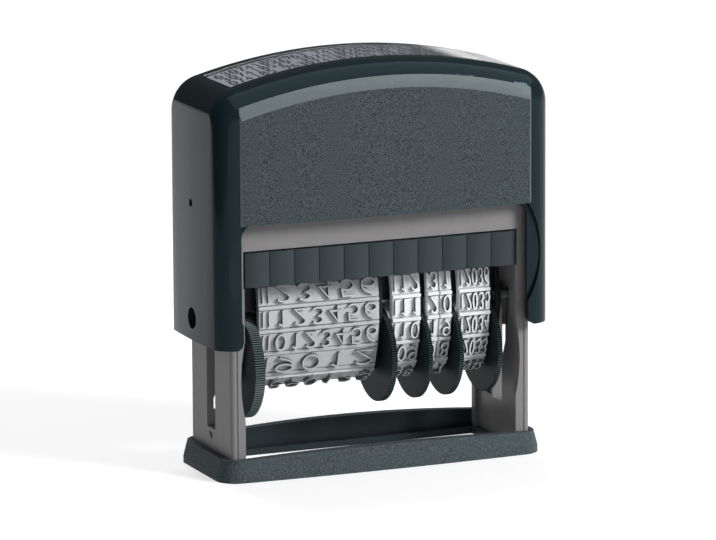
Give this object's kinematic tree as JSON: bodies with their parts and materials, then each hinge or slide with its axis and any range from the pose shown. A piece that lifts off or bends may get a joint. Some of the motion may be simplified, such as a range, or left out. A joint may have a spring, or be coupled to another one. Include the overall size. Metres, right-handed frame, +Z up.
{
  "type": "self-inking date stamp",
  "caption": "Self-inking hand stamp with turnable date and word bands, a pressed housing that flips the print unit, and a slide-out ink cartridge.",
  "frame": {"origin": "middle of the base ring's underside", "axes": "+X to the right seen from the front, front towards -Y, +Z up"},
  "size_m": [0.067, 0.0278, 0.0765],
  "materials": {
    "black_gloss": "polished moulded plastic with fine-grained front and back panels",
    "black_textured": "spark-eroded moulded texture",
    "grey_frame": "satin moulded plastic",
    "dark_tray": "satin moulded plastic, ribbed grips",
    "ink_felt": "felt soaked with black ink",
    "clear_window": "clear polished plastic",
    "card": "printed card",
    "inner_plastic": "moulded plastic",
    "unit_plastic": "moulded plastic",
    "steel": "turned steel",
    "spring_steel": "drawn spring steel",
    "wheel_black": "knurled moulded plastic",
    "type_rubber": "moulded grey rubber with raised type"
  },
  "bodies": {
    "frame": {"base_skirt": "black_textured", "lower_frame": "grey_frame"},
    "housing": {"outer_housing": "black_gloss", "window_cap": "clear_window", "label_card": "card", "yoke": "inner_plastic", "axle_pin_left": "steel", "axle_pin_right": "steel", "return_spring": "spring_steel"},
    "print_unit": {"carrier_cheek_left": "unit_plastic", "carrier_cheek_right": "unit_plastic", "cam_follower_left": "steel", "cam_follower_right": "steel", "centre_divider": "unit_plastic", "type_bar": "unit_plastic", "wheel_shaft": "steel", "detent_spring": "spring_steel", "phrase_band": "type_rubber", "month_band": "type_rubber", "tens_band": "type_rubber", "units_band": "type_rubber", "year_band": "type_rubber"},
    "ink_cartridge": {"cartridge_tray": "dark_tray", "ink_pad": "ink_felt"},
    "phrase_dial": {"phrase_wheel": "wheel_black"},
    "month_dial": {"month_wheel": "wheel_black"},
    "tens_dial": {"tens_wheel": "wheel_black"},
    "units_dial": {"units_wheel": "wheel_black"},
    "year_dial": {"year_wheel": "wheel_black"}
  },
  "joints": [
    {"name": "press", "type": "slide", "parent": "frame", "child": "housing", "axis": [0, 0, -1], "range_m": [0, 0.0189], "stiffness_N_per_m": 420, "springref_m": -0.012, "deforming": ["return_spring"]},
    {"name": "unit_flip", "type": "hinge", "parent": "housing", "child": "print_unit", "pos_m": [0, 0, 0.0291], "axis": [1, 0, 0], "range_deg": [0, 180]},
    {"name": "cartridge_slide", "type": "slide", "parent": "frame", "child": "ink_cartridge", "axis": [0, 1, 0], "range_m": [-0.024, 0]},
    {"name": "phrase_turn", "type": "hinge", "parent": "print_unit", "child": "phrase_dial", "pos_m": [0, 0, 0.0195], "axis": [1, 0, 0], "continuous": true},
    {"name": "month_turn", "type": "hinge", "parent": "print_unit", "child": "month_dial", "pos_m": [0, 0, 0.0195], "axis": [1, 0, 0], "continuous": true},
    {"name": "tens_turn", "type": "hinge", "parent": "print_unit", "child": "tens_dial", "pos_m": [0, 0, 0.0195], "axis": [1, 0, 0], "continuous": true},
    {"name": "units_turn", "type": "hinge", "parent": "print_unit", "child": "units_dial", "pos_m": [0, 0, 0.0195], "axis": [1, 0, 0], "continuous": true},
    {"name": "year_turn", "type": "hinge", "parent": "print_unit", "child": "year_dial", "pos_m": [0, 0, 0.0195], "axis": [1, 0, 0], "continuous": true}
  ],
  "couplings": [
    {"joint": "unit_flip", "follows": "press", "rad_per_m": 166.22}
  ]
}
